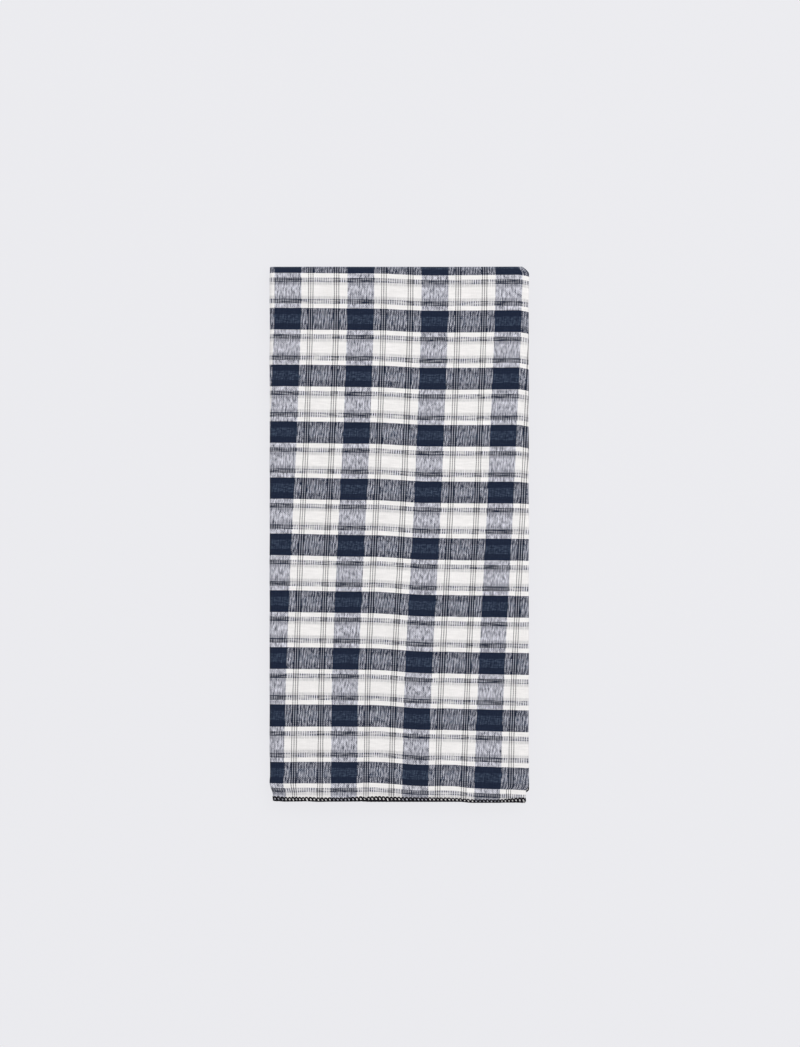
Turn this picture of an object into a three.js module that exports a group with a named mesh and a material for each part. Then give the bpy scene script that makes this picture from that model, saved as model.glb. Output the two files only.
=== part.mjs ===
import * as THREE from "three";

// A square plaid gauze scarf, folded in quarters lengthwise and then once in half, lying flat.
// Millimetres. X runs across the folded scarf, Y along it to the fold at its far end, Z up.
// Every piece is laid out on the open square first, as across, along and off the cloth,
// and then carried into the fold by place().

const foldedWidth = 140;
const foldedLength = 290;
const clothThickness = 1;
const layerPitch = 1.3;
const edgingWidth = 2.2;
const edgingThickness = 1;
const sewingGap = 0.3;

const { lerp, smoothstep } = THREE.MathUtils;

const halfThickness = clothThickness / 2;
const edgingReach = sewingGap + edgingWidth;
const edgingMiddle = sewingGap + edgingWidth / 2;
const layersInHalf = 4;
const stackHeight = (2 * layersInHalf - 1) * layerPitch + clothThickness;

// Fold lines and side hems, as x. The inner fold lies slack inside the outer one,
// and the inner side hem stops short of the outer one.
const innerFoldSlack = 0.95;
const innerHemSetBack = 1.5;
const outerFoldRadius = ((layersInHalf - 1) / 2) * layerPitch;
const innerFoldRadius = layerPitch / 2;
const outerFold = -foldedWidth / 2 + halfThickness + outerFoldRadius;
const innerFold = outerFold + innerFoldSlack;
const rightFold = foldedWidth / 2 - halfThickness - innerFoldRadius;
const outerHem = foldedWidth / 2 - edgingReach;
const innerHem = outerHem - innerHemSetBack;

// How far the hems on top stop short of the lowest of them, by x. The second layer
// peeps out below the one that shows, right of the middle.
const hemThatShows = [
  { x: -55, back: 0.6 },
  { x: -46, back: 0.05 },
  { x: -23, back: 0.05 },
  { x: -15, back: 0.4 },
  { x: 33, back: 0.4 },
  { x: 41, back: 0 },
  { x: 66, back: 0 },
];
const secondHem = [
  { x: 50, back: 0.6 },
  { x: 33, back: 0 },
  { x: -14, back: 0 },
  { x: -32, back: 0.8 },
];
const thirdHem = [{ x: 0, back: 1.3 }];
const fourthHem = [{ x: 0, back: 0.9 }];
const underHemSetBack = 1.5;
const hemEase = 30;

// The stretches across the square, from the outer side hem to the inner one. A panel lies flat
// on its level, and stops are the x where it may bend a little. A turn goes round a fold and
// bulges left or right. Level 0 is next to the middle of the stack and level 3 is outermost.
const bulgesLeft = -1;
const bulgesRight = 1;
const stopsToRight = [-60, -51, -42, -22, 10, 38, 52, 62];
const stopsToLeft = stopsToRight.toReversed();
const stretches = [
  { from: outerHem, to: outerFold, level: 0, stops: stopsToLeft, hem: fourthHem },
  { turn: outerFold, radius: outerFoldRadius, side: bulgesLeft, levels: [0, 3], steps: 6 },
  { from: outerFold, to: rightFold, level: 3, stops: stopsToRight, hem: hemThatShows },
  { turn: rightFold, radius: innerFoldRadius, side: bulgesRight, levels: [3, 2], steps: 4 },
  { from: rightFold, to: innerFold, level: 2, stops: stopsToLeft, hem: secondHem },
  { turn: innerFold, radius: innerFoldRadius, side: bulgesLeft, levels: [2, 1], steps: 4 },
  { from: innerFold, to: innerHem, level: 1, stops: stopsToRight, hem: thirdHem },
];

// Places across the square: where each stretch starts, the stops, and the hem's set-back.
const acrossStops = [0];
const hemSetBack = [];
let clothAcross = 0;
for (const stretch of stretches) {
  stretch.start = clothAcross;
  if ("turn" in stretch) {
    const length = Math.PI * stretch.radius;
    for (let step = 1; step <= stretch.steps; step++) {
      acrossStops.push(clothAcross + (length * step) / stretch.steps);
    }
    clothAcross += length;
  } else {
    const acrossAt = (x) => stretch.start + Math.abs(x - stretch.from);
    clothAcross = acrossAt(stretch.to);
    acrossStops.push(...stretch.stops.map(acrossAt), clothAcross);
    hemSetBack.push(...stretch.hem.map(({ x, back }) => ({ across: acrossAt(x), back })));
  }
}

// The crosswise fold at the far end turns the whole stack of four over on itself.
const endFoldReach = innerFoldRadius + (layersInHalf - 1) * layerPitch + halfThickness;
const endFoldY = foldedLength / 2 - endFoldReach;
const hemY = -foldedLength / 2 + edgingReach;
const halfAlong = endFoldY - hemY;
const endFoldLength = Math.PI * (innerFoldRadius + outerFoldRadius);
const clothAlong = 2 * halfAlong + endFoldLength;

// Places along the square. The stops near a hem are the distances from it at which
// the cloth may bend a little.
const stopsFromHem = [0, 2, 4, 5.5, 7.5, 11, 17, 26, 45, 80, 120, 160, 200, 235, 264];
const endFoldSteps = 8;
const alongStops = [...stopsFromHem];
for (let step = 0; step <= endFoldSteps; step++) {
  alongStops.push(halfAlong + (endFoldLength * step) / endFoldSteps);
}
alongStops.push(...stopsFromHem.toReversed().map((stop) => clothAlong - stop));

// How far each side is drawn in along the scarf, by y. On the right, the two layers
// on top are drawn in sooner than the side hems beneath them.
const farCorner = [
  { y: 140.4, by: 0 },
  { y: 145, by: 2.7 },
];
const leftDrawnIn = [
  { y: -142, by: 1.8 },
  { y: -135, by: 0 },
  { y: -131, by: 0.45 },
  { y: -126, by: 0.45 },
  { y: -119, by: 0 },
];
const rightDrawnIn = [{ y: -137, by: 1.4 }, { y: -135, by: 0 }, ...farCorner];
const sideHemsDrawnIn = [{ y: -140.5, by: 1.4 }, { y: -138.5, by: 0 }, ...farCorner];
const drawnInWhole = 62;
const drawnInNone = 30;
const twoLayersDown = stackHeight - halfThickness - 1.5 * layerPitch;

// Where the top stands a little higher, rise being a share of the height, and its slow waves.
const puffs = [
  { axis: "y", none: -112, whole: -141, rise: 0.07 },
  { axis: "x", none: -48, whole: -70, rise: 0.04 },
  { axis: "y", none: 118, whole: 143, rise: 0.04 },
];
const waves = [
  { rise: 0.016, lengthX: 110, lengthY: 190, start: 0.1 },
  { rise: 0.014, lengthX: -150, lengthY: 130, start: 0.42 },
];

// 0 at none and 1 at whole, eased between them, whichever is the greater.
function ramp(at, none, whole) {
  return none < whole ? smoothstep(at, none, whole) : 1 - smoothstep(at, whole, none);
}

// Reads a table's second column at a place in its first, easing from row to row.
function eased(rows, place, amount, at) {
  const next = rows.findIndex((row) => row[place] >= at);
  if (next === 0) return rows[0][amount];
  if (next === -1) return rows.at(-1)[amount];
  const [before, after] = [rows[next - 1], rows[next]];
  return lerp(before[amount], after[amount], smoothstep(at, before[place], after[place]));
}

// The section across the stack: x, and height above level 0. Beyond either side hem
// the first and last panels run straight on.
function foldAcross(across, off) {
  const stretch = stretches.findLast((row) => row.start <= across) ?? stretches[0];
  const run = across - stretch.start;
  if ("turn" in stretch) {
    const [first, last] = stretch.levels;
    const rising = Math.sign(last - first);
    const radius = stretch.radius - stretch.side * rising * off;
    const angle = run / stretch.radius;
    return {
      x: stretch.turn + stretch.side * radius * Math.sin(angle),
      height: ((first + last) / 2) * layerPitch - rising * radius * Math.cos(angle),
    };
  }
  const heading = Math.sign(stretch.to - stretch.from);
  return {
    x: stretch.from + heading * run,
    height: stretch.level * layerPitch + heading * off,
  };
}

// The fold along the scarf: the stack runs up to the far end, round it and back underneath.
function foldAlong(along, height) {
  const radius = innerFoldRadius + height;
  const middle = stackHeight / 2;
  if (along < halfAlong) return { y: hemY + along, z: middle + radius };
  const past = along - halfAlong;
  if (past > endFoldLength) return { y: endFoldY - (past - endFoldLength), z: middle - radius };
  const angle = Math.PI * (0.5 - past / endFoldLength);
  return { y: endFoldY + radius * Math.cos(angle), z: middle + radius * Math.sin(angle) };
}

function drawnIn(x, y, z) {
  const rightTable = z > twoLayersDown ? rightDrawnIn : sideHemsDrawnIn;
  return (
    ramp(x, -drawnInNone, -drawnInWhole) * eased(leftDrawnIn, "y", "by", y) -
    ramp(x, drawnInNone, drawnInWhole) * eased(rightTable, "y", "by", y)
  );
}

function setBack(across, along) {
  const topHem = eased(hemSetBack, "across", "back", across);
  return ramp(along, hemEase, 0) * topHem + ramp(along, clothAlong - hemEase, clothAlong) * underHemSetBack;
}

function rise(x, y) {
  let sum = 1;
  for (const puff of puffs) sum += puff.rise * ramp(puff.axis === "x" ? x : y, puff.none, puff.whole);
  for (const wave of waves) {
    sum += wave.rise * Math.sin(2 * Math.PI * (x / wave.lengthX + y / wave.lengthY + wave.start));
  }
  return sum;
}

// Carries a point of the open square into the fold. Along is measured from the hem on top.
function place(across, along, off) {
  const { x, height } = foldAcross(across, off);
  const { y, z } = foldAlong(along, height);
  return [x + drawnIn(x, y, z), y + setBack(across, along), z * rise(x, y)];
}

function folded(geometry, toFlat) {
  const position = geometry.getAttribute("position");
  const point = new THREE.Vector3();
  for (let i = 0; i < position.count; i++) {
    position.setXYZ(i, ...place(...toFlat(point.fromBufferAttribute(position, i))));
  }
  geometry.computeVertexNormals();
  return geometry;
}

// The stop that a grid coordinate from -0.5 to 0.5 stands for.
function stopAt(stops, coordinate) {
  return stops[Math.round((coordinate + 0.5) * (stops.length - 1))];
}

function clothGeometry() {
  const grid = new THREE.BoxGeometry(1, 1, 1, acrossStops.length - 1, alongStops.length - 1, 1);
  return folded(grid, ({ x, y, z }) => [
    stopAt(acrossStops, x),
    stopAt(alongStops, y),
    z * clothThickness,
  ]);
}

// A bead of edging lies beside its edge of the cloth and has a flattened eight-sided section.
const beadSides = 8;
const beadRadius = 1 / Math.cos(Math.PI / beadSides);

function beadGeometry(stops) {
  const steps = stops.length - 1;
  return new THREE.CylinderGeometry(
    beadRadius, beadRadius, 1, beadSides, steps, false, Math.PI / beadSides,
  );
}

function endEdgingGeometry(along) {
  const stops = [-edgingReach, ...acrossStops, clothAcross + edgingReach];
  return folded(beadGeometry(stops).rotateZ(Math.PI / 2), ({ x, y, z }) => [
    stopAt(stops, x),
    along + (y * edgingWidth) / 2,
    (z * edgingThickness) / 2,
  ]);
}

function sideEdgingGeometry(across) {
  return folded(beadGeometry(alongStops), ({ x, y, z }) => [
    across + (x * edgingWidth) / 2,
    stopAt(alongStops, y),
    (z * edgingThickness) / 2,
  ]);
}

const gauze = new THREE.MeshStandardMaterial({ color: 0x8f9098, roughness: 0.95, metalness: 0 });
const edgingThread = new THREE.MeshStandardMaterial({ color: 0x1c1b22, roughness: 0.8, metalness: 0 });

function piece(name, geometry, material) {
  const mesh = new THREE.Mesh(geometry, material);
  mesh.name = name;
  return mesh;
}

const foldedScarf = new THREE.Group();
foldedScarf.name = "folded_scarf";
foldedScarf.add(
  piece("cloth", clothGeometry(), gauze),
  piece("visible_end_edging", endEdgingGeometry(-edgingMiddle), edgingThread),
  piece("under_end_edging", endEdgingGeometry(clothAlong + edgingMiddle), edgingThread),
  piece("outer_side_edging", sideEdgingGeometry(-edgingMiddle), edgingThread),
  piece("inner_side_edging", sideEdgingGeometry(clothAcross + edgingMiddle), edgingThread),
);

export default foldedScarf;
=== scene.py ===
import math
import random

import bmesh
import bpy
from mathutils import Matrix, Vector, noise


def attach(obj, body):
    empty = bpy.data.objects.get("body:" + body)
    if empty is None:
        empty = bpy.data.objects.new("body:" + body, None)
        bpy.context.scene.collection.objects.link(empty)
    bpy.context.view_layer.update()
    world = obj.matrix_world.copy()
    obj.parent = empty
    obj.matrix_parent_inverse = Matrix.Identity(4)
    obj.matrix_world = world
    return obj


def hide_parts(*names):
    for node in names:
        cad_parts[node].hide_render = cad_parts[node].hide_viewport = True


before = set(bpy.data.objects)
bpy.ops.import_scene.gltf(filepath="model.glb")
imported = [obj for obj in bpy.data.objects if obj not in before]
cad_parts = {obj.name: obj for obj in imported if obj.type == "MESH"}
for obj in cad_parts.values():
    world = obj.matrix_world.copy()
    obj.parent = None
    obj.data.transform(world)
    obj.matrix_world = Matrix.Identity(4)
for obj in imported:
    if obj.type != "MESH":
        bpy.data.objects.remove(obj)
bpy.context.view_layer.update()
print("frame loaded:", sorted(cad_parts))

mm = 0.001

# The fold, in millimetres, as the solids have it. The cloth is laid out open first, as across,
# along and off the sheet, and place() carries every point of it into the folded scarf.
scarf = {
    "foldedWidth": 140.0,
    "foldedLength": 290.0,
    "layersInHalf": 4,
    "layerPitch": 1.3,
    "sheetRoom": 1.0,        # the thickness that a layer may fill
    "edgingReach": 2.5,      # from the sewn line out to the edge
    "innerFoldSlack": 0.95,
    "innerHemSetBack": 1.5,
    "underHemSetBack": 1.5,
    "hemEase": 30.0,         # over this length the hems' set-back fades out
    "drawnInNone": 48.0,     # a side is drawn in from this far off the middle
    "drawnInWhole": 66.0,    # and as much as its table says from here on
    "farCornerFrom": 56.0,
}

pitch = scarf["layerPitch"]
halfRoom = scarf["sheetRoom"] / 2
stackHeight = (2 * scarf["layersInHalf"] - 1) * pitch + scarf["sheetRoom"]
outerFoldRadius = (scarf["layersInHalf"] - 1) / 2 * pitch
innerFoldRadius = pitch / 2
outerFold = -scarf["foldedWidth"] / 2 + halfRoom + outerFoldRadius
innerFold = outerFold + scarf["innerFoldSlack"]
rightFold = scarf["foldedWidth"] / 2 - halfRoom - innerFoldRadius
outerHem = scarf["foldedWidth"] / 2 - scarf["edgingReach"]
innerHem = outerHem - scarf["innerHemSetBack"]

# How far each layer's hem stops short of the lowest, by x.
hemThatShows = {
    "x": [-69, -64, -55, -50, -43.6, -37, -22, -18,
          -12, 30, 40, 53, 58, 65, 69],
    "back": [0.5, 0.3, 0.33, 0.42, 0.15, 0.24, 0.33, 0.72,
             0.46, 0.4, -0.42, -0.42, -0.28, -0.28, -0.45]}
secondHem = {"x": [50, 33, -14, -32], "back": [0.6, 0, 0, 0.8]}
thirdHem = {"x": [0], "back": [1.3]}
fourthHem = {"x": [0], "back": [0.9]}

# The stretches across the open square: flat panels on their levels, and the turns between them.
bulgesLeft, bulgesRight = -1, 1
stretches = [
    {"from": outerHem, "to": outerFold, "level": 0, "hem": fourthHem},
    {"turn": outerFold, "radius": outerFoldRadius, "side": bulgesLeft, "levels": (0, 3), "steps": 12},
    {"from": outerFold, "to": rightFold, "level": 3, "hem": hemThatShows},
    {"turn": rightFold, "radius": innerFoldRadius, "side": bulgesRight, "levels": (3, 2), "steps": 10},
    {"from": rightFold, "to": innerFold, "level": 2, "hem": secondHem},
    {"turn": innerFold, "radius": innerFoldRadius, "side": bulgesLeft, "levels": (2, 1), "steps": 10},
    {"from": innerFold, "to": innerHem, "level": 1, "hem": thirdHem},
]

hemSetBack = {"across": [], "back": []}
clothAcross = 0.0
for stretch in stretches:
    stretch["start"] = clothAcross
    if "turn" in stretch:
        clothAcross += math.pi * stretch["radius"]
    else:
        for x, back in zip(stretch["hem"]["x"], stretch["hem"]["back"]):
            hemSetBack["across"].append(stretch["start"] + abs(x - stretch["from"]))
            hemSetBack["back"].append(back)
        clothAcross += abs(stretch["to"] - stretch["from"])

endFoldReach = innerFoldRadius + (scarf["layersInHalf"] - 1) * pitch + halfRoom
endFoldY = scarf["foldedLength"] / 2 - endFoldReach
hemY = -scarf["foldedLength"] / 2 + scarf["edgingReach"]
halfAlong = endFoldY - hemY
endFoldLength = math.pi * (innerFoldRadius + outerFoldRadius)
clothAlong = 2 * halfAlong + endFoldLength

# How far the sides are drawn in, by y. On the right the two layers on top go in first.
leftDrawnIn = {"y": [-142, -134.5, -131, -126, -119], "by": [1.5, -0.35, -0.1, -0.1, -0.25]}
rightDrawnIn = {"y": [-138.2, -136], "by": [1.4, -0.2]}
sideHemsDrawnIn = {"y": [-142, -139.6, -135.5, -132], "by": [2.2, -0.4, -0.4, -0.1]}
farCornerDrawnIn = {"y": [140.4, 145], "by": [0, 2.7]}
twoLayersDown = stackHeight - halfRoom - 1.5 * pitch

# Where the stack is fuller: at the hem, at the left side and at the far end, as shares of its height.
puffs = [
    {"axis": "y", "none": -112, "whole": -141, "rise": 0.07},
    {"axis": "x", "none": -48, "whole": -70, "rise": 0.04},
    {"axis": "y", "none": 118, "whole": 143, "rise": 0.04},
]
# Long, low waves over the whole of it.
waves = [
    {"rise": 0.016, "lengthX": 110, "lengthY": 190, "start": 0.1},
    {"rise": 0.014, "lengthX": -150, "lengthY": 130, "start": 0.42},
]

# What the soft cloth adds to the solids' fold. Each seed picks its own stretch of the noise.
softness = {
    "layerWander": 0.16, "layerWanderSize": 34.0, "layerSeed": 6.2,   # each layer off its level
    "ripple": 0.022, "rippleSize": 26.0, "rippleSeed": 1.3,           # share of the height
    "edgeWander": 0.14, "edgeWanderSize": 17.0,                       # the folds' outline
    "leftSeed": 4.1, "rightSeed": 8.7,
    "pucker": 0.16, "puckerSize": 5.5, "puckerSeed": 2.9,             # beside the sewn hems
    "puckerNone": 9.0, "puckerWhole": 1.0,
}


def ramp(at, none, whole):
    share = min(max((at - none) / (whole - none), 0.0), 1.0)
    return share * share * (3.0 - 2.0 * share)


def eased(places, amounts, at):
    if at <= places[0]:
        return amounts[0]
    for i in range(1, len(places)):
        if at <= places[i]:
            return amounts[i - 1] + (amounts[i] - amounts[i - 1]) * ramp(at, places[i - 1], places[i])
    return amounts[-1]


def wander(x, y, size, seed):
    return noise.noise(Vector((x / size, y / size, seed)))


def foldAcross(across, off):
    stretch = stretches[0]
    for row in stretches:
        if row["start"] <= across:
            stretch = row
    run = across - stretch["start"]
    if "turn" in stretch:
        first, last = stretch["levels"]
        rising = 1 if last > first else -1
        radius = stretch["radius"] - stretch["side"] * rising * off
        angle = run / stretch["radius"]
        height = (first + last) / 2 * pitch - rising * radius * math.cos(angle)
        return stretch["turn"] + stretch["side"] * radius * math.sin(angle), height
    heading = 1 if stretch["to"] > stretch["from"] else -1
    return stretch["from"] + heading * run, stretch["level"] * pitch + heading * off


def foldAlong(along, height):
    radius = innerFoldRadius + height
    middle = stackHeight / 2
    if along < halfAlong:
        return hemY + along, middle + radius
    past = along - halfAlong
    if past > endFoldLength:
        return endFoldY - (past - endFoldLength), middle - radius
    angle = math.pi * (0.5 - past / endFoldLength)
    return endFoldY + radius * math.cos(angle), middle + radius * math.sin(angle)


def sideDrawnIn(table, y, z, seed):
    straying = softness["edgeWander"] * wander(y, z / 2, softness["edgeWanderSize"], seed)
    return eased(table["y"], table["by"], y) + straying


def drawnIn(x, y, z):
    rightTable = rightDrawnIn if z > twoLayersDown else sideHemsDrawnIn
    atLeft = ramp(x, -scarf["drawnInNone"], -scarf["drawnInWhole"])
    atRight = ramp(x, scarf["drawnInNone"], scarf["drawnInWhole"])
    atCorner = ramp(x, scarf["farCornerFrom"], scarf["foldedWidth"] / 2)
    return (atLeft * sideDrawnIn(leftDrawnIn, y, z, softness["leftSeed"])
            - atRight * sideDrawnIn(rightTable, y, z, softness["rightSeed"])
            - atCorner * eased(farCornerDrawnIn["y"], farCornerDrawnIn["by"], y))


def setBack(across, along):
    top = eased(hemSetBack["across"], hemSetBack["back"], across)
    ease = scarf["hemEase"]
    return (ramp(along, ease, 0) * top
            + ramp(along, clothAlong - ease, clothAlong) * scarf["underHemSetBack"])


def rise(x, y):
    total = 1.0 + softness["ripple"] * wander(x, y, softness["rippleSize"], softness["rippleSeed"])
    for puff in puffs:
        total += puff["rise"] * ramp(x if puff["axis"] == "x" else y, puff["none"], puff["whole"])
    for wave in waves:
        turns = x / wave["lengthX"] + y / wave["lengthY"] + wave["start"]
        total += wave["rise"] * math.sin(2 * math.pi * turns)
    return total


def softOff(across, along):
    fromHem = min(along, clothAlong - along, across, clothAcross - across)
    straying = wander(across, along, softness["layerWanderSize"], softness["layerSeed"])
    pucker = wander(across, along, softness["puckerSize"], softness["puckerSeed"])
    nearHem = ramp(fromHem, softness["puckerNone"], softness["puckerWhole"])
    return softness["layerWander"] * straying + softness["pucker"] * nearHem * pucker


def squaredCorner(x, y):
    # where both folds meet, the cloth is pressed out into a sharp corner
    outX, outY = outerFold - x, y - scarf["foldedLength"] / 2 + outerFoldRadius + halfRoom
    if outX <= 0 or outY <= 0:
        return x, y
    push = math.hypot(outX, outY) / max(outX, outY)
    return outerFold - outX * push, y + outY * (push - 1)


def place(across, along, off):
    x, height = foldAcross(across, off + softOff(across, along))
    y, z = foldAlong(along, height)
    x, y = squaredCorner(x, y)
    return Vector((x + drawnIn(x, y, z), y + setBack(across, along), max(z, 0.0) * rise(x, y))) * mm


# The weave: one repeat each way, as runs of yarns. For each kind of yarn: its ink, from white to
# navy (a marled yarn lies between), how thick it is beside its neighbours, how heathered it is (in
# the warp, how deep its dye is), and how loose it is: 0 is a wiry end or a wholly marled pick.
warpYarns = {
    "endPitch": 0.622,
    "kinds": {"navy": (1, 0.86, 0, 1), "line": (1, 1.4, 1, 0), "between": (0, 0.96, 0, 0),
              "white": (0, 0.6, 0, 1)},
    "repeat": [("navy", 23), ("white", 6),
               ("line", 1), ("between", 1), ("line", 1), ("between", 1), ("line", 1), ("white", 18),
               ("line", 1), ("between", 1), ("line", 1), ("between", 1), ("line", 1), ("white", 7)],
}
weftYarns = {
    "pickPitch": 0.4868,
    "kinds": {"navy": (1, 1.25, 0.14, 1), "heather": (1, 1.12, 1, 1), "white": (0, 1, 0, 1),
              "dark marl": (0.94, 1, 0, 0), "marl": (0.66, 0.9, 0, 0),
              "pale marl": (0.3, 1, 0, 0.7), "palest marl": (0.12, 1, 0, 0.7)},
    "repeat": [("navy", 7), ("heather", 10), ("navy", 7), ("white", 5),
               ("marl", 4), ("dark marl", 1), ("pale marl", 3), ("palest marl", 1), ("white", 11),
               ("palest marl", 1), ("pale marl", 3), ("dark marl", 1), ("marl", 4), ("white", 5)],
}

# How the weave lies on the panel that shows: millimetres, by place on the folded scarf.
grain = {
    "navyEndAt": 220.5,      # across, where a navy stripe of the warp begins at the far end
    "navyPickAt": 8.5,       # along, where a navy stripe of the weft begins
    "lean": 10.8, "leanNone": 290.0, "leanWhole": -25.0,
    "widerAtFold": 0.012, "narrowerAtHem": 0.015,
    "hemPartFrom": 285.7, "hemPartOver": 271.8,     # what grows towards the hem, along
    # the picks dip towards the right: how far, and over which x
    "dips": [(0.54, -70, -10), (1.1, -16, 17), (-0.3, 20, 65)],
    "dipsAtHem": [(1.2, -16, 20), (2.5, 15, 75)],
    "turnDip": 1.6,          # round the right-hand fold, in its far half
    "turnDipFrom": (275, 280.5), "turnDipTo": (300, 282), "turnDipAlong": (140, 190),
    "underBackInStep": 60.0,  # this near the under hem, all layers' picks lie in step again
}

# How far the ends and the picks have drifted, in millimetres, by place on that panel.
drift = {
    "x": [-66, -30, 0, 30, 66],
    "along": [12, 75, 140, 205, 275, 284],
    "ends": [[-0.6, -1.0, -0.3, -0.2, -0.3], [-0.6, 0.1, 0.1, -0.5, 0.2],
             [-0.4, 0.3, -0.3, -0.6, 0.3], [-0.9, -0.2, -0.1, -0.2, 0.6],
             [-1.7, -0.6, -0.4, -0.4, 0.2], [-1.7, -0.6, -0.4, -0.4, 0.2]],
    "picks": [[1.1, 0.6, 0.2, -0.5, -0.9], [0.2, 0.2, 0.3, 0, -0.7],
              [0.1, 0.5, 0.4, 0.3, -0.2], [0.8, 0.8, 0.8, 0.7, 0.3],
              [0.8, 0.7, 0.6, 0.6, 0.5], [1.0, 0.8, 0.65, 0.65, 0.6]],
}


def driftAt(rows, x, along):
    return eased(drift["along"], [eased(drift["x"], row, x) for row in rows], along)


def dipAt(dips, x):
    return sum(deep * ramp(x, none, whole) for deep, none, whole in dips)


def weaveAt(across, along):
    x, height = foldAcross(across, 0.0)
    towardsHem = min(max((grain["hemPartFrom"] - along) / grain["hemPartOver"], 0.0), 1.0)
    lean = grain["lean"] * ramp(along, grain["leanNone"], grain["leanWhole"])
    widen = 1 + grain["widerAtFold"] - (grain["widerAtFold"] + grain["narrowerAtHem"]) * towardsHem
    end = (across - grain["navyEndAt"] + lean) / widen + driftAt(drift["ends"], x, along)

    dip = dipAt(grain["dips"], x) + towardsHem * dipAt(grain["dipsAtHem"], x)
    atTurn = ramp(across, *grain["turnDipFrom"]) * ramp(across, *grain["turnDipTo"])
    dip += grain["turnDip"] * atTurn * ramp(along, *grain["turnDipAlong"])
    # the outer layers go further round the end fold than the inner ones
    further = math.pi * (innerFoldRadius + height) - endFoldLength
    roundFold = min(max((along - halfAlong) / endFoldLength, 0.0), 1.0)
    roundFold *= ramp(along, clothAlong - grain["underBackInStep"], halfAlong + endFoldLength)
    pick = along + dip + further * roundFold - grain["navyPickAt"] + driftAt(drift["picks"], x, along)
    return end, pick


def spread(start, end, step):
    count = max(1, round(abs(end - start) / step))
    return [start + (end - start) * i / count for i in range(count)]


cloth = {
    "thickness": 0.85,
    "hemThickness": 0.42,    # pressed flat under the stitches
    "thinnestAt": -0.4, "fullAt": 1.6,   # from the sewn line inwards
    "intoEdging": 2.15,      # how far the cloth runs on under the stitches
    "panelStep": 4.0,
    "hemStep": 0.72,
    "nearHemStep": 1.5,
    "nearHem": 15.0,
    "endFoldSteps": 26,
}


def acrossStops():
    stops = spread(-cloth["intoEdging"], 0.0, cloth["hemStep"])
    for stretch in stretches:
        if "turn" in stretch:
            length = math.pi * stretch["radius"]
            stops += spread(stretch["start"], stretch["start"] + length, length / stretch["steps"])
        else:
            length = abs(stretch["to"] - stretch["from"])
            stops += spread(stretch["start"], stretch["start"] + length, cloth["panelStep"])
    edge = clothAcross + cloth["intoEdging"]
    return stops + spread(clothAcross, edge, cloth["hemStep"]) + [edge]


def alongStops():
    near = spread(-cloth["intoEdging"], 0.0, cloth["hemStep"])
    near += spread(0.0, cloth["nearHem"], cloth["nearHemStep"])
    near += spread(cloth["nearHem"], halfAlong, cloth["panelStep"])
    turn = spread(halfAlong, halfAlong + endFoldLength, endFoldLength / cloth["endFoldSteps"])
    return near + turn + [halfAlong + endFoldLength] + [clothAlong - stop for stop in reversed(near)]


def pieceFrom(bm, name, node, material):
    mesh = bpy.data.meshes.new(name)
    bm.to_mesh(mesh)
    bm.free()
    mesh.shade_smooth()
    mesh.materials.append(material)
    piece = bpy.data.objects.new(name, mesh)
    bpy.context.scene.collection.objects.link(piece)
    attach(piece, "root")
    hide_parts(node)
    return piece


def makeCloth(material):
    across, along = acrossStops(), alongStops()
    bm = bmesh.new()
    bmesh.ops.create_grid(bm, x_segments=len(across) - 1, y_segments=len(along) - 1, size=0.5)
    weave = bm.loops.layers.uv.new("weave")
    thin = bm.verts.layers.deform.verify()
    flat = {}
    for vert in bm.verts:
        i = round((vert.co.x + 0.5) * (len(across) - 1))
        j = round((vert.co.y + 0.5) * (len(along) - 1))
        flat[vert] = (across[i], along[j])
    threads = {spot: weaveAt(*spot) for spot in set(flat.values())}
    for face in bm.faces:
        for loop in face.loops:
            end, pick = threads[flat[loop.vert]]
            loop[weave].uv = (end * mm, pick * mm)
    hemShare = cloth["hemThickness"] / cloth["thickness"]
    for vert, (u, v) in flat.items():
        fromHem = min(u, clothAcross - u, v, clothAlong - v)
        vert[thin][0] = hemShare + (1 - hemShare) * ramp(fromHem, cloth["thinnestAt"], cloth["fullAt"])
        vert.co = place(u, v, 0.0)
    piece = pieceFrom(bm, "plaidCloth", "cloth", material)
    piece.vertex_groups.new(name="fullness")
    wall = piece.modifiers.new("thickness", "SOLIDIFY")
    wall.thickness = cloth["thickness"] * mm
    wall.offset = 0.0
    wall.vertex_group = "fullness"
    print("cloth:", len(across), "by", len(along), "stops, flat",
          round(clothAcross, 1), "by", round(clothAlong, 1))
    return piece


# Overlocking: on each face of the hem a looper thread stands in leaning loops, one a stitch,
# each round an oval of bare cloth, and the purl along the edge holds their feet.
overlock = {
    "stitch": 2.08,
    "threadRadius": 0.43,
    "threadRoundness": 1,
    "threadLift": 0.36,
    "flatness": 0.55,
    "loopAcross": 0.80, "loopAlong": 1.02, "loopMiddle": 1.24,   # of the thread's middle
    "loopLean": 33,
    "loopTurns": [218, 172, 128, 84, 40, -12, -66],              # degrees round the oval
    "footLift": 0.6,
    "uneven": 0.09,
    "purlRadius": 0.46,
    "purlAt": 1.98,
    "purlScallop": 0.05,
    "purlSteps": 3,          # to a stitch
    "outer": 2.42,           # where the bound edge ends
    "endGap": 0.1,           # left at each end of a hem's run
}

# How tall the stitches are along the hem that shows, by x. Two runs of stitches meet at x = -20.
stitchesTall = {
    "x": [-68, -60, -50, -37, -29, -23, -20.3, -18.6, -15, -11,
          -3, 5, 12, 18, 25, 32, 57, 61, 66],
    "share": [1.15, 1.05, 1.0, 0.96, 0.92, 1.12, 1.17, 0.8, 1.08, 1.18,
              1.04, 0.98, 0.88, 0.92, 0.86, 0.8, 0.8, 0.9, 1.2]}


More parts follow.
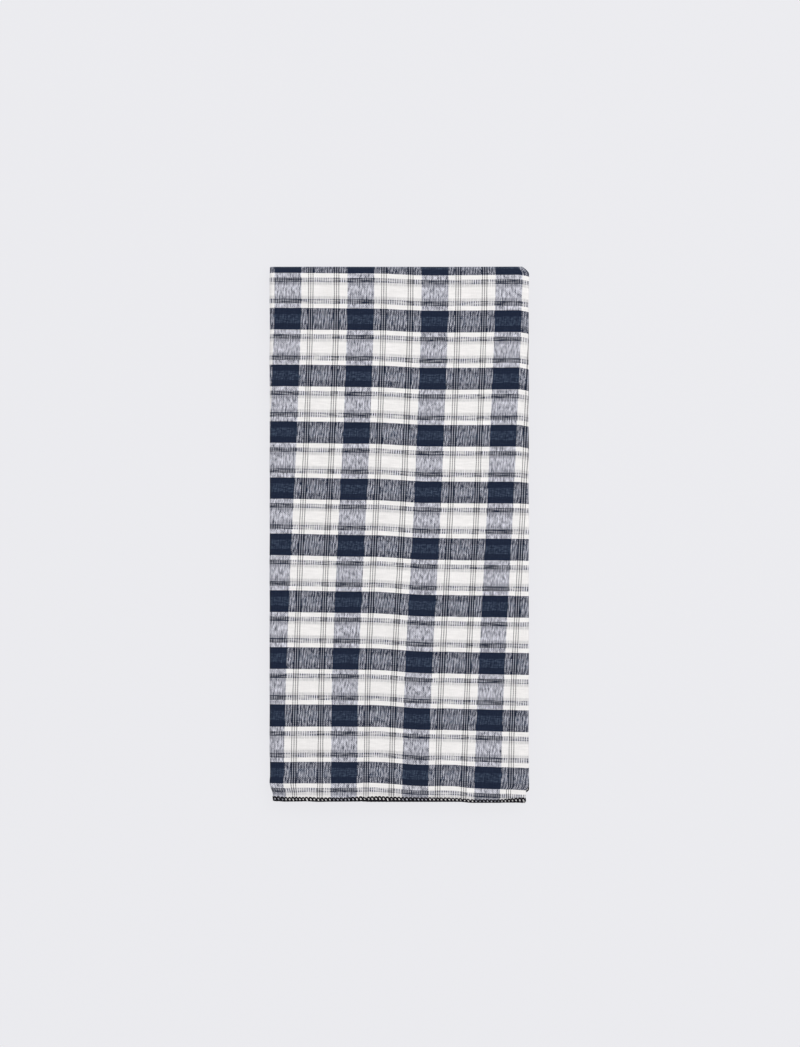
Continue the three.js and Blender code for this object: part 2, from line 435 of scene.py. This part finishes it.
def looperPath(length, face, chance):
    lean = math.radians(overlock["loopLean"])
    lift = face * overlock["threadLift"] / overlock["flatness"]
    feet = (overlock["loopTurns"][0], overlock["loopTurns"][-1])
    points = []
    for stitch in range(int(length / overlock["stitch"])):
        middle = (stitch + 0.5) * overlock["stitch"] + chance.uniform(-1, 1) * overlock["uneven"]
        tall = overlock["loopAlong"] + chance.uniform(-1, 1) * overlock["uneven"]
        for turn in overlock["loopTurns"]:
            angle = math.radians(turn)
            wide, high = overlock["loopAcross"] * math.cos(angle), tall * math.sin(angle)
            points.append((
                middle + wide * math.cos(lean) - high * math.sin(lean),
                overlock["loopMiddle"] - high * math.cos(lean) - wide * math.sin(lean),
                lift * (overlock["footLift"] if turn in feet else 1.0)))
    return points


def purlPath(length):
    points = []
    steps = round(length / overlock["stitch"]) * overlock["purlSteps"]
    for i in range(steps + 1):
        run = length * i / steps
        swell = math.cos(2 * math.pi * run / overlock["stitch"])
        points.append((run, overlock["purlAt"] + overlock["purlScallop"] * swell, 0.0))
    return points


def addThreads(bm, paths):
    for points, radius in paths:
        curve = bpy.data.curves.new("thread", "CURVE")
        curve.dimensions = "3D"
        curve.bevel_depth = radius
        curve.bevel_resolution = overlock["threadRoundness"]
        curve.use_fill_caps = True
        spline = curve.splines.new("POLY")
        spline.points.add(len(points) - 1)
        for point, spot in zip(spline.points, points):
            point.co = (*spot, 1.0)
        holder = bpy.data.objects.new("thread", curve)
        mesh = bpy.data.meshes.new_from_object(holder)
        bm.from_mesh(mesh)
        bpy.data.objects.remove(holder)
        bpy.data.curves.remove(curve)
        bpy.data.meshes.remove(mesh)


# A run of stitches is made straight, from its start outwards, and then laid on the open square by
# toFlat, which takes the way along the run and the way out from the sewn line.
def makeEdging(name, node, material, length, toFlat, seed, tallness=None):
    chance = random.Random(seed)
    bm = bmesh.new()
    addThreads(bm, [
        (looperPath(length, 1, chance), overlock["threadRadius"]),
        (looperPath(length, -1, chance), overlock["threadRadius"]),
        (purlPath(length), overlock["purlRadius"]),
    ])
    run = bm.loops.layers.uv.new("run")
    for face in bm.faces:
        for loop in face.loops:
            loop[run].uv = (loop.vert.co.x * mm, loop.vert.co.y * mm)
    for vert in bm.verts:
        way, out, lift = vert.co
        if tallness:
            out = overlock["outer"] + (out - overlock["outer"]) * tallness(way)
        across, along = toFlat(way, out)
        vert.co = place(across, along, lift * overlock["flatness"])
    bmesh.ops.recalc_face_normals(bm, faces=bm.faces)
    piece = pieceFrom(bm, name, node, material)
    print(name, "faces", len(piece.data.polygons))
    return piece


# Shader maths reads as Python: a Wire is one socket, and an expression on it adds Math nodes.
class Wire:
    def __init__(self, recipe, socket):
        self.recipe, self.socket = recipe, socket

    def maths(self, operation, *values, clamp=False):
        settings = {"operation": operation, "use_clamp": clamp}
        return self.recipe.node("ShaderNodeMath", settings, dict(enumerate(values)))

    def __add__(self, other):
        return self.maths("ADD", self, other)

    def __radd__(self, other):
        return self.maths("ADD", other, self)

    def __sub__(self, other):
        return self.maths("SUBTRACT", self, other)

    def __rsub__(self, other):
        return self.maths("SUBTRACT", other, self)

    def __mul__(self, other):
        return self.maths("MULTIPLY", self, other)

    def __rmul__(self, other):
        return self.maths("MULTIPLY", other, self)

    def __truediv__(self, other):
        return self.maths("DIVIDE", self, other)

    def __rtruediv__(self, other):
        return self.maths("DIVIDE", other, self)

    def __abs__(self):
        return self.maths("ABSOLUTE", self)

    def floor(self):
        return self.maths("FLOOR", self)

    def fract(self):
        return self.maths("FRACT", self)

    def sine(self):
        return self.maths("SINE", self)

    def cosine(self):
        return self.maths("COSINE", self)

    def clamped(self):
        return self.maths("ADD", self, 0.0, clamp=True)

    def between(self, low, high):
        return self * (high - low) + low


class Recipe:
    def __init__(self, name):
        self.material = bpy.data.materials.new(name)
        self.material.use_nodes = True
        self.tree = self.material.node_tree
        self.tree.nodes.clear()

    def node(self, kind, settings=None, inputs=None, output=0):
        node = self.tree.nodes.new(kind)
        for name, value in (settings or {}).items():
            if name == "stops":
                self.fillRamp(node.color_ramp, value)
            else:
                setattr(node, name, value)
        for name, value in (inputs or {}).items():
            if isinstance(value, Wire):
                self.tree.links.new(value.socket, node.inputs[name])
            else:
                node.inputs[name].default_value = value
        return Wire(self, node.outputs[output]) if node.outputs else None

    def fillRamp(self, colourRamp, stops):
        colourRamp.interpolation = "CONSTANT"
        for i, (position, colour) in enumerate(stops):
            stop = colourRamp.elements[0] if i == 0 else colourRamp.elements.new(position)
            stop.position = position
            stop.color = colour
        if len(stops) > 1:
            colourRamp.elements.remove(colourRamp.elements[-1])

    def mix(self, share, first, second, blend="MIX"):
        settings = {"data_type": "RGBA", "blend_type": blend}
        return self.node("ShaderNodeMix", settings, {0: share, 6: first, 7: second}, output=2)

    def parts(self, vector):
        first = self.node("ShaderNodeSeparateXYZ", None, {0: vector})
        outputs = first.socket.node.outputs
        return [Wire(self, outputs[i]) for i in range(3)]

    def vector(self, x, y, z=0.0):
        return self.node("ShaderNodeCombineXYZ", None, {0: x, 1: y, 2: z})

    def speckle(self, place, scale, detail=1.0):
        inputs = {"Vector": place, "Scale": scale, "Detail": detail}
        return self.node("ShaderNodeTexNoise", {"noise_dimensions": "2D"}, inputs)

    def speckles(self, place, scale, detail=1.0):
        inputs = {"Vector": place, "Scale": scale, "Detail": detail}
        return self.node("ShaderNodeTexNoise", {"noise_dimensions": "2D"}, inputs, output=1)

    # noise with a scale of its own each way: specks to a metre along u and along v
    def streaks(self, u, v, scales, detail=1.0):
        return self.speckle(self.vector(u * scales[0], v * scales[1]), 1.0, detail)

    def chart(self, place, stops):
        colour = self.node("ShaderNodeValToRGB", {"stops": stops}, {0: place.fract()})
        return *self.parts(colour), Wire(self, colour.socket.node.outputs[1])


def chartStops(yarns):
    total = sum(count for kind, count in yarns["repeat"])
    stops, at = [], 0
    for kind, count in yarns["repeat"]:
        stops.append((at / total, yarns["kinds"][kind]))
        at += count
    return stops, total


# Scales are specks to a metre, one for each way of the cloth. Where a comment names two kinds of
# yarn, the first value is for the first kind and the second for the second, and others lie between.
gauze = {
    "white": (0.893, 0.873, 0.866),
    "whiteByNavy": (0.77, 0.77, 0.855),   # white yarns that cross navy ones are darker and a little bluer
    "navy": (0.0086, 0.0148, 0.0358),
    "heather": (0.055, 0.078, 0.125),
    "deepNavy": (0.003, 0.004, 0.010),    # the fine lines of the warp
    "deepDye": 1.4,
    "palePicksTinted": 2.0,               # how readily pale picks on navy ends take on that tint
    # how the yarns stray, in yarns
    "sway": 0.26, "swayScale": 160.0,
    "huddle": 0.26, "huddleEnds": (800.0, 190.0), "huddlePicks": (160.0, 950.0),
    # which yarn is on top
    "over": 0.22,                         # how far the crossings alternate
    "thickOnTop": 0.5,
    "proudOn": (0.5, 1.0),                # marled picks, loose ones
    "wiry": (3.0, 4.0),                   # white picks, navy ones
    # some ends stand proud of their neighbours for a while
    "pairing": 0.19, "pairingOn": (0.6, 1.0),                    # white picks, navy ones
    "pairStep": 2.65, "pairTurns": 4.5, "pairLean": -480.0,
    "pairScales": (240.0, 300.0),
    "slub": 1.95, "slubOn": (0.75, 0.5),                         # white picks, navy ones
    "slubScales": (1000.0, 330.0),
    "crossingChance": 0.2,
    # the marled picks: their dye comes and goes, and dashes of it show between the ends
    "worn": 1.8, "wornOn": (0.5, 1.0),                           # palest picks, darkest ones
    "wornScales": (150.0, 1150.0), "wornShade": 0.2,
    "dashes": 0.46, "dashesOn": (0.4, 1.0),                      # wiry ends, loose ones
    "dashesWorn": 1.2,
    # the heathered picks
    "fleckScales": (380.0, 1500.0), "fleckFrom": 0.36, "fleckContrast": 3.2,
    "fleckShare": (0.22, 1.12),           # between flecks, in one
    "fleckStreaks": 0.65, "fleckChance": 0.3,
    # the surface; groove is how dark the painted shade at the yarns' sides is, and how deep the bump's
    # grooves are
    "grooveShadeAndDepth": 0.35, "patches": 0.14, "patchScale": 90.0,
    "bumpStrength": 0.5, "bumpHeight": 0.09,
    "roughness": 0.95, "shine": 0.1, "sheen": 0.03, "sheenRoughness": 0.6,
}


def gauzeMaterial():
    r = Recipe("plaidGauze")
    uv = r.node("ShaderNodeUVMap", {"uv_map": "weave"})
    u, v, _ = r.parts(uv)

    # the yarns sway together and huddle in places, as soft gauze does
    swayX, swayY, _ = r.parts(r.speckles(uv, gauze["swayScale"]))
    huddleX = r.streaks(u, v, gauze["huddleEnds"])
    huddleY = r.streaks(u, v, gauze["huddlePicks"])
    endPlace = u / (warpYarns["endPitch"] * mm) + (swayX - 0.5) * gauze["sway"]
    pickPlace = v / (weftYarns["pickPitch"] * mm) + (swayY - 0.5) * gauze["sway"]
    endPlace = endPlace + (huddleX - 0.5) * gauze["huddle"]
    pickPlace = pickPlace + (huddleY - 0.5) * gauze["huddle"]
    endIndex, pickIndex = endPlace.floor(), pickPlace.floor()
    fromEnd = abs(endPlace.fract() - 0.5)     # 0 in a yarn's middle, 0.5 at its sides
    fromPick = abs(pickPlace.fract() - 0.5)

    warpStops, ends = chartStops(warpYarns)
    weftStops, picks = chartStops(weftYarns)
    endInk, endWidth, endDeep, endLoose = r.chart(endPlace / ends, warpStops)
    pickInk, pickWidth, heather, pickLoose = r.chart(pickPlace / picks, weftStops)

    marled = 1.0 - pickLoose
    worn = r.streaks(u, v, gauze["wornScales"], 2.0) - 0.5
    pickInk = (pickInk + marled * worn * gauze["worn"] * pickInk.between(*gauze["wornOn"])).clamped()

    # some ends stand proud for a few picks, and then their neighbours do
    slubs = r.streaks(u, v, gauze["slubScales"], 2.0) - 0.5
    pairs = r.streaks(u, v, gauze["pairScales"])
    turns = endIndex * gauze["pairStep"] + pairs * gauze["pairTurns"] + v * gauze["pairLean"]
    chance = r.node("ShaderNodeTexWhiteNoise", {"noise_dimensions": "2D"},
                    {"Vector": r.vector(endIndex, pickIndex)}) - 0.5
    proud = turns.cosine() * gauze["pairing"] * pickInk.between(*gauze["pairingOn"])
    proud = proud + slubs * gauze["slub"] * pickInk.between(*gauze["slubOn"])
    proud = proud + chance * gauze["crossingChance"]

    # plain weave: an end and a pick are on top by turns
    shed = (pickPlace * math.pi).sine() * gauze["over"] * pickLoose
    dashes = (worn * gauze["dashesWorn"] + 1.0) * endLoose.between(*gauze["dashesOn"])
    shed = shed + marled * dashes * gauze["dashes"]
    over = (endWidth - pickWidth) * gauze["thickOnTop"] + 0.5
    over = over + (endPlace * math.pi).sine() * shed
    over = over + proud * endLoose * pickLoose.between(*gauze["proudOn"])
    # the ends of the warp's lines are wiry: they cover little but their own middle
    wiry = (1.0 - endLoose) * pickInk.between(*gauze["wiry"])
    over = over.clamped() * (1.0 - wiry * fromEnd * fromEnd)

    # the picks in the middle of a navy stripe are heathered, with paler flecks
    flecks = r.streaks(u, v, gauze["fleckScales"], 2.0)
    flecks = ((flecks - gauze["fleckFrom"]) * gauze["fleckContrast"]).clamped()
    heathered = flecks.between(*gauze["fleckShare"]) * (turns.cosine() * gauze["fleckStreaks"] + 1.0)
    heathered = heather * (heathered + chance * gauze["fleckChance"]) * (1.0 - over)

    # yarns are round: their sides get painted shade, darkest in the grooves between them, and the same
    # profile shapes the bump
    endProfileAndShade = 1.0 - fromEnd * fromEnd * gauze["grooveShadeAndDepth"] * 4.0
    pickProfileAndShade = 1.0 - fromPick * fromPick * gauze["grooveShadeAndDepth"] * 4.0
    shadeAndMottle = over * endProfileAndShade + (1.0 - over) * pickProfileAndShade
    patches = (r.speckle(uv, gauze["patchScale"], 3.0) - 0.5) * gauze["patches"]
    shadeAndMottle = shadeAndMottle * (patches + 1.0 + worn * gauze["wornShade"])

    byNavy = ((1.0 - pickInk) * gauze["palePicksTinted"]).clamped() * endInk * endLoose
    byNavy = byNavy + (1.0 - endInk) * pickInk * pickInk
    ink = over * endInk + (1.0 - over) * pickInk
    white = r.mix(byNavy, (*gauze["white"], 1.0), (*gauze["whiteByNavy"], 1.0))
    navy = r.mix(heathered, (*gauze["navy"], 1.0), (*gauze["heather"], 1.0))
    navy = r.mix(endDeep * over * gauze["deepDye"], navy, (*gauze["deepNavy"], 1.0))
    colour = r.mix(ink, white, navy)
    # the painted shade of the grooves, with the random patches and the worn streaks of tone, darkens the
    # colour
    colour = r.mix(1.0, colour, r.vector(shadeAndMottle, shadeAndMottle, shadeAndMottle), "MULTIPLY")

    crossing = (endPlace * math.pi).sine() * (pickPlace * math.pi).sine()
    height = (crossing + 1.0) * endProfileAndShade + (1.0 - crossing) * pickProfileAndShade
    bump = r.node("ShaderNodeBump", None, {
        "Strength": gauze["bumpStrength"], "Distance": gauze["bumpHeight"] * mm, "Height": height * 0.5})
    skin = r.node("ShaderNodeBsdfPrincipled", None, {
        "Base Color": colour, "Roughness": gauze["roughness"], "Normal": bump,
        "Specular IOR Level": gauze["shine"],
        "Sheen Weight": gauze["sheen"], "Sheen Roughness": gauze["sheenRoughness"]})
    r.node("ShaderNodeOutputMaterial", None, {0: skin})
    return r.material


thread = {
    "colour": (0.0035, 0.0032, 0.006),
    "pale": (0.014, 0.0135, 0.019),
    "fibreScale": 3800.0, "fibreFrom": 0.45, "fibreContrast": 2.2,
    "patchScale": 220.0, "patches": 0.5,
    "bumpStrength": 0.6, "bumpHeight": 0.06,
    "roughness": 0.75, "shine": 0.12, "sheen": 0.03, "sheenRoughness": 0.5,
}


def threadMaterial():
    r = Recipe("edgingThread")
    place = r.node("ShaderNodeTexCoord", None, None, output=3)
    run = r.node("ShaderNodeUVMap", {"uv_map": "run"})
    fibres = r.speckle(run, thread["fibreScale"], 3.0)
    patches = r.node("ShaderNodeTexNoise", None,
                     {"Vector": place, "Scale": thread["patchScale"], "Detail": 1.0})
    share = (fibres - thread["fibreFrom"]) * thread["fibreContrast"]
    share = (share + (patches - 0.5) * thread["patches"]).clamped()
    colour = r.mix(share, (*thread["colour"], 1.0), (*thread["pale"], 1.0))
    bump = r.node("ShaderNodeBump", None, {
        "Strength": thread["bumpStrength"], "Distance": thread["bumpHeight"] * mm, "Height": fibres})
    skin = r.node("ShaderNodeBsdfPrincipled", None, {
        "Base Color": colour, "Roughness": thread["roughness"], "Normal": bump,
        "Specular IOR Level": thread["shine"],
        "Sheen Weight": thread["sheen"], "Sheen Roughness": thread["sheenRoughness"]})
    r.node("ShaderNodeOutputMaterial", None, {0: skin})
    return r.material


plaid = gauzeMaterial()
blackThread = threadMaterial()
print("materials:", plaid.name, "and", blackThread.name)
clothPiece = makeCloth(plaid)

# The hems' runs pass the cloth's corners, and the sides' runs lie between them.
pastCorner = scarf["edgingReach"] - overlock["endGap"]
hemRun = clothAcross + 2 * pastCorner
topPanel = next(stretch for stretch in stretches if stretch.get("hem") is hemThatShows)
tallAcross = [topPanel["start"] + x - topPanel["from"] for x in stitchesTall["x"]]
edgings = [
    makeEdging("visibleEndStitches", "visible_end_edging", blackThread, hemRun,
               toFlat=lambda way, out: (way - pastCorner, -out), seed=11,
               tallness=lambda way: eased(tallAcross, stitchesTall["share"], way - pastCorner)),
    makeEdging("underEndStitches", "under_end_edging", blackThread, hemRun,
               toFlat=lambda way, out: (way - pastCorner, clothAlong + out), seed=12),
    makeEdging("outerSideStitches", "outer_side_edging", blackThread, clothAlong,
               toFlat=lambda way, out: (-out, way), seed=13),
    makeEdging("innerSideStitches", "inner_side_edging", blackThread, clothAlong,
               toFlat=lambda way, out: (clothAcross + out, way), seed=14),
]
flatSize = tuple((size + 2 * cloth["intoEdging"]) * mm for size in (clothAcross, clothAlong))

# The floor, the light and the camera, in metres and watts.
studio = {
    "floorColour": (0.825, 0.825, 0.855),
    "floorGlow": 0.93,       # a light table, so that the floor takes hardly any shadow
    "floorSize": 3.0,
    "floorRoughness": 0.95,
    "floorShine": 0.05,
    "ambient": 0.78,
    "keyPower": 14.0,
    "keyAt": (0.55, 0.75, 1.5),
    "keySize": 1.3,
}


def floorMaterial():
    r = Recipe("paleFloor")
    glow = studio["floorGlow"]
    dim = tuple(part * (1 - glow) for part in studio["floorColour"])
    skin = r.node("ShaderNodeBsdfPrincipled", None, {
        "Base Color": (*dim, 1.0), "Roughness": studio["floorRoughness"],
        "Specular IOR Level": studio["floorShine"],
        "Emission Color": (*studio["floorColour"], 1.0), "Emission Strength": glow})
    r.node("ShaderNodeOutputMaterial", None, {0: skin})
    return r.material


def makeFloor():
    bm = bmesh.new()
    bmesh.ops.create_grid(bm, x_segments=1, y_segments=1, size=studio["floorSize"] / 2)
    mesh = bpy.data.meshes.new("floor")
    bm.to_mesh(mesh)
    bm.free()
    mesh.materials.append(floorMaterial())
    floor = bpy.data.objects.new("floor", mesh)
    bpy.context.scene.collection.objects.link(floor)


def makeLight():
    world = bpy.data.worlds.new("studio")
    world.use_nodes = True
    background = world.node_tree.nodes["Background"]
    background.inputs["Color"].default_value = (1.0, 1.0, 1.0, 1.0)
    background.inputs["Strength"].default_value = studio["ambient"]
    bpy.context.scene.world = world
    key = bpy.data.lights.new("key", "AREA")
    key.shape = "SQUARE"
    key.size = studio["keySize"]
    key.energy = studio["keyPower"]
    keyObject = bpy.data.objects.new("key", key)
    keyObject.location = studio["keyAt"]
    keyObject.rotation_euler = Vector(studio["keyAt"]).to_track_quat("Z", "Y").to_euler()
    bpy.context.scene.collection.objects.link(keyObject)


# The photograph is taken from straight above. Its frame is 800 by 1047 pixels, the folded scarf
# is 259 pixels wide, and the scarf's middle is at pixel (399.25, 534).
photo = {
    "width": 800, "height": 1047,
    "scarfMiddle": (399.25, 534.0),
    "scarfWidth": 259.0,
    "lens": 85.0, "sensor": 36.0,
}


def makeCamera():
    camera = bpy.data.cameras.new("camera")
    camera.lens = photo["lens"]
    camera.sensor_width = photo["sensor"]
    pixel = scarf["foldedWidth"] * mm / photo["scarfWidth"]
    distance = photo["height"] * pixel * photo["lens"] / photo["sensor"]
    cameraObject = bpy.data.objects.new("camera", camera)
    cameraObject.location = (
        (photo["width"] / 2 - photo["scarfMiddle"][0]) * pixel,
        (photo["scarfMiddle"][1] - photo["height"] / 2) * pixel,
        distance + stackHeight * mm,
    )
    bpy.context.scene.collection.objects.link(cameraObject)
    bpy.context.scene.camera = cameraObject
    print("camera", round(cameraObject.location.z, 3), "above the floor")


makeFloor()
makeLight()
makeCamera()
bpy.context.scene.view_settings.view_transform = "Standard"
